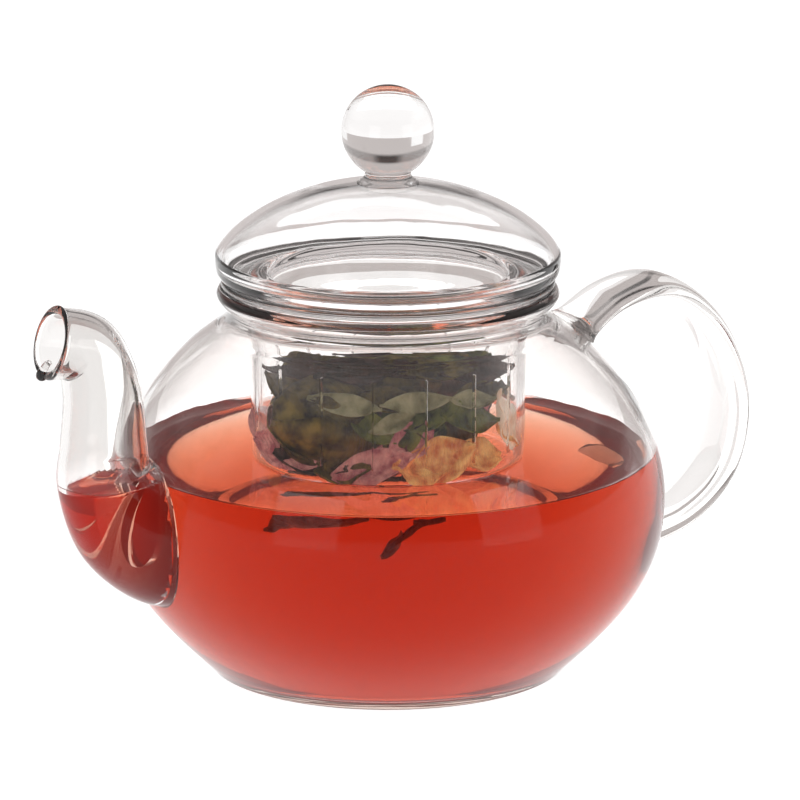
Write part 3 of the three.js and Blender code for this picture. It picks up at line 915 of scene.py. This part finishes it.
def gather(name, parts, body):
    """Joins loose closed shells that share a body into one piece, and keeps their materials."""
    materials = []
    bm = bmesh.new()
    for part in parts:
        index = []
        for material in part.data.materials:
            if material not in materials:
                materials.append(material)
            index.append(materials.index(material))
        before = len(bm.faces)
        bm.from_mesh(part.data)
        bm.faces.ensure_lookup_table()
        for face in bm.faces[before:]:
            face.material_index = index[0]
    mesh = bpy.data.meshes.new(name)
    bm.to_mesh(mesh)
    bm.free()
    for part in parts:
        bpy.data.objects.remove(part)
    obj = bpy.data.objects.new(name, mesh)
    bpy.context.scene.collection.objects.link(obj)
    for material in materials:
        mesh.materials.append(material)
    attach(obj, body)
    return obj


bits = [
    blade("bit", 19, 2.6, 0.5, 0.3, BROWN, spot(-13, 27, 39.2), FACING + 2, 2, 20, 0.3, 0.5, 0.6),
    blade("bit", 6, 3.0, -0.9, 0.3, BROWN, spot(-21, 26.5, 38.9), FACING - 10, -10, 30, 0.3, 0.5, 0.4),
    blade("bit", 6, 2.0, 0.9, 0.3, BROWN, spot(1, 27, 35.2), FACING - 4, -50, 40, 0.3, 0.5, 0.5),
]
for points, radius in (
    ((spot(5, 28, 39.4), spot(8, 28.5, 39.8), spot(11, 28, 40.2)), 0.6),
    ((spot(6.5, 27, 39.4), spot(3, 27.6, 36.9), spot(-0.5, 27, 34.2)), 0.6),
    ((spot(-4, 27, 40.6), spot(2, 28, 40.3), spot(9, 27, 41.2)), 0.45),
):
    twig = stick(points, radius)
    twig.data.materials.append(TWIG)
    bits.append(twig)
gather("rosebuds", charge, "infuser")
gather("petals", petals, "infuser")
gather("leaves", leaves, "infuser")
gather("twigs", twigs, "infuser")
gather("loose_bits", bits, "pot")

# ---- floor ----
floor = lathe("floor", [(0, 0.0), (1099, 0.0), (1100, -1.0), (0, -1.0)], 128)
material, nodes, links, shader = principled("floor_white")
shader.inputs["Base Color"].default_value = (0.25, 0.25, 0.25, 1)
shader.inputs["Roughness"].default_value = 0.9
shader.inputs["Emission Color"].default_value = (1, 1, 1, 1)
# Painted pool of light: the floor's emission is 1.0 elsewhere. It rises to 2.15 near a point 34 mm behind the pot's
# axis, between 60 mm and 42 mm from it, and lights the tea from behind.
place = nodes.new("ShaderNodeTexCoord")
reach = nodes.new("ShaderNodeVectorMath")
reach.operation = "LENGTH"
painted_light_pool = nodes.new("ShaderNodeMapRange")
painted_light_pool.interpolation_type = "SMOOTHSTEP"
painted_light_pool.inputs["To Min"].default_value = 1.0
painted_light_pool.inputs["To Max"].default_value = 2.15
shifted = nodes.new("ShaderNodeVectorMath")
shifted.operation = "SUBTRACT"
shifted.inputs[1].default_value = tuple(-NEAR * 0.034)
links.new(place.outputs["Object"], shifted.inputs[0])
links.new(shifted.outputs["Vector"], reach.inputs[0])
painted_light_pool.inputs["From Min"].default_value = 0.060
painted_light_pool.inputs["From Max"].default_value = 0.042
links.new(reach.outputs["Value"], painted_light_pool.inputs["Value"])
links.new(painted_light_pool.outputs["Result"], shader.inputs["Emission Strength"])
floor.data.materials.append(material)
floor.location.z = -0.0002

# ---- white card close behind the pot, seen only through the tea ----
card_arc = [math.radians(a) for a in range(-34, 35, 4)]


def card_row(radius, z):
    return [tuple(-NEAR * (radius * math.cos(a)) + RIGHT * (radius * math.sin(a)) + Vector((0, 0, z))) for a in card_arc]


rows = [card_row(118, 1), card_row(118, 58), card_row(119, 58), card_row(119, 1)]
count = len(card_arc)
card_faces = []
for a, b in ((0, 1), (1, 2), (2, 3), (3, 0)):
    for k in range(count - 1):
        card_faces.append((a * count + k, a * count + k + 1, b * count + k + 1, b * count + k))
card_faces += [tuple(row * count for row in range(4)), tuple(row * count + count - 1 for row in range(4))]
card = make("card", [p for row in rows for p in row], card_faces)
material, nodes, links, shader = principled("card_white")
shader.inputs["Base Color"].default_value = (0, 0, 0, 1)
shader.inputs["Emission Color"].default_value = (1, 1, 1, 1)
shader.inputs["Emission Strength"].default_value = 1.8
card.data.materials.append(material)
card.visible_camera = False
card.visible_shadow = False

# ---- camera ----
scene = bpy.context.scene
ELEVATION = math.radians(14.4)
back = Vector((math.sin(VIEW_AZ) * math.cos(ELEVATION), -math.cos(VIEW_AZ) * math.cos(ELEVATION), math.sin(ELEVATION)))
target = Vector((0, 0, 0.06045)) + RIGHT * 0.0027
camera_data = bpy.data.cameras.new("camera")
camera_data.lens = 259.2
camera_data.sensor_width = 36
camera = bpy.data.objects.new("camera", camera_data)
camera.location = target + back * 1.3
camera.rotation_euler = back.to_track_quat("Z", "Y").to_euler()
scene.collection.objects.link(camera)
scene.camera = camera

# ---- light ----
world = bpy.data.worlds.new("studio")
scene.world = world
world.use_nodes = True
nodes, links = world.node_tree.nodes, world.node_tree.links
background = nodes["Background"]
coords = nodes.new("ShaderNodeTexCoord")
split = nodes.new("ShaderNodeSeparateXYZ")
links.new(coords.outputs["Generated"], split.inputs["Vector"])


def ranged(value, low, high, to_low, to_high):
    node = nodes.new("ShaderNodeMapRange")
    node.interpolation_type = "SMOOTHSTEP"
    node.inputs["From Min"].default_value = low
    node.inputs["From Max"].default_value = high
    node.inputs["To Min"].default_value = to_low
    node.inputs["To Max"].default_value = to_high
    links.new(value, node.inputs["Value"])
    return node.outputs["Result"]


def math_node(operation, a, b=0.0):
    node = nodes.new("ShaderNodeMath")
    node.operation = operation
    for socket, value in zip(node.inputs, (a, b)):
        if isinstance(value, (int, float)):
            socket.default_value = value
        else:
            links.new(value, socket)
    return node.outputs[0]


def along(direction):
    dot = nodes.new("ShaderNodeVectorMath")
    dot.operation = "DOT_PRODUCT"
    dot.inputs[1].default_value = tuple(direction)
    links.new(coords.outputs["Generated"], dot.inputs[0])
    return dot.outputs["Value"]


def mixed(amount, a, b):
    """a where amount is 0 and b where it is 1."""
    part_b = math_node("MULTIPLY", amount, b)
    part_a = math_node("MULTIPLY", math_node("SUBTRACT", 1.0, amount), a)
    return math_node("ADD", part_a, part_b)


# Bearings are measured from straight behind the pot, positive to the right.
bearing = math_node("ARCTAN2", along(RIGHT), along(-NEAR))
height = split.outputs["Z"]
WHITE, WALL, SHELF, FRONT, GLOW = 1.1, 0.62, 0.36, 0.34, 0.5


def both(a, b):
    return math_node("MULTIPLY", a, b)


over_table = ranged(height, -0.108, -0.100, 0.0, 1.0)
over_horizon = ranged(height, 0.035, 0.055, 0.0, 1.0)
table_end = both(ranged(bearing, -0.38, -0.34, 0.0, 1.0), ranged(bearing, 0.80, 0.90, 1.0, 0.0))
table_left = both(ranged(bearing, -1.25, -1.15, 0.0, 1.0), ranged(bearing, -0.66, -0.6, 1.0, 0.0))
above = mixed(math_node("ADD", table_end, table_left), over_horizon, over_table)
front = mixed(ranged(height, 0.02, 0.40, 1.0, 0.0), FRONT, GLOW)
shelf = both(ranged(height, 0.12, 0.18, 0.0, 1.0), ranged(height, 0.30, 0.38, 1.0, 0.0))
# What the tea's surface mirrors, straight behind the pot and as far above level as the eye.
mirrored = both(ranged(height, 0.14, 0.20, 0.0, 1.0), ranged(height, 0.29, 0.35, 1.0, 0.0))
mirrored = both(mirrored, both(ranged(bearing, -0.30, -0.10, 0.0, 1.0), ranged(bearing, 0.10, 0.30, 1.0, 0.0)))
wall = mixed(mirrored, mixed(shelf, WALL, SHELF), 0.07)
room = mixed(ranged(along(-NEAR), -0.35, 0.05, 0.0, 1.0), front, wall)
links.new(mixed(above, WHITE, room), background.inputs["Strength"])
tone = nodes.new("ShaderNodeCombineColor")
tone.inputs["Red"].default_value = 1.0
links.new(mixed(above, 1.0, 0.92), tone.inputs["Green"])
links.new(mixed(above, 1.0, 0.90), tone.inputs["Blue"])
links.new(tone.outputs["Color"], background.inputs["Color"])


def softbox(name, azimuth, height_z, size, strength, distance=0.75):
    light = bpy.data.lights.new(name, "AREA")
    light.shape = "RECTANGLE"
    light.size, light.size_y = size
    light.energy = strength
    obj = bpy.data.objects.new(name, light)
    a = math.radians(azimuth)
    obj.location = (distance * math.sin(a), -distance * math.cos(a), height_z)
    obj.rotation_euler = (obj.location - Vector((0, 0, 0.05))).to_track_quat("Z", "Y").to_euler()
    scene.collection.objects.link(obj)


softbox("softbox_left", -27.5 - 33, 0.20, (0.36, 0.40), 0.55)
softbox("softbox_right", -27.5 + 50, 0.20, (0.36, 0.40), 0.55)

scene.view_settings.view_transform = "Standard"
scene.cycles.max_bounces = 28
scene.cycles.transmission_bounces = 28
scene.cycles.glossy_bounces = 8
scene.cycles.diffuse_bounces = 3
scene.cycles.transparent_max_bounces = 8
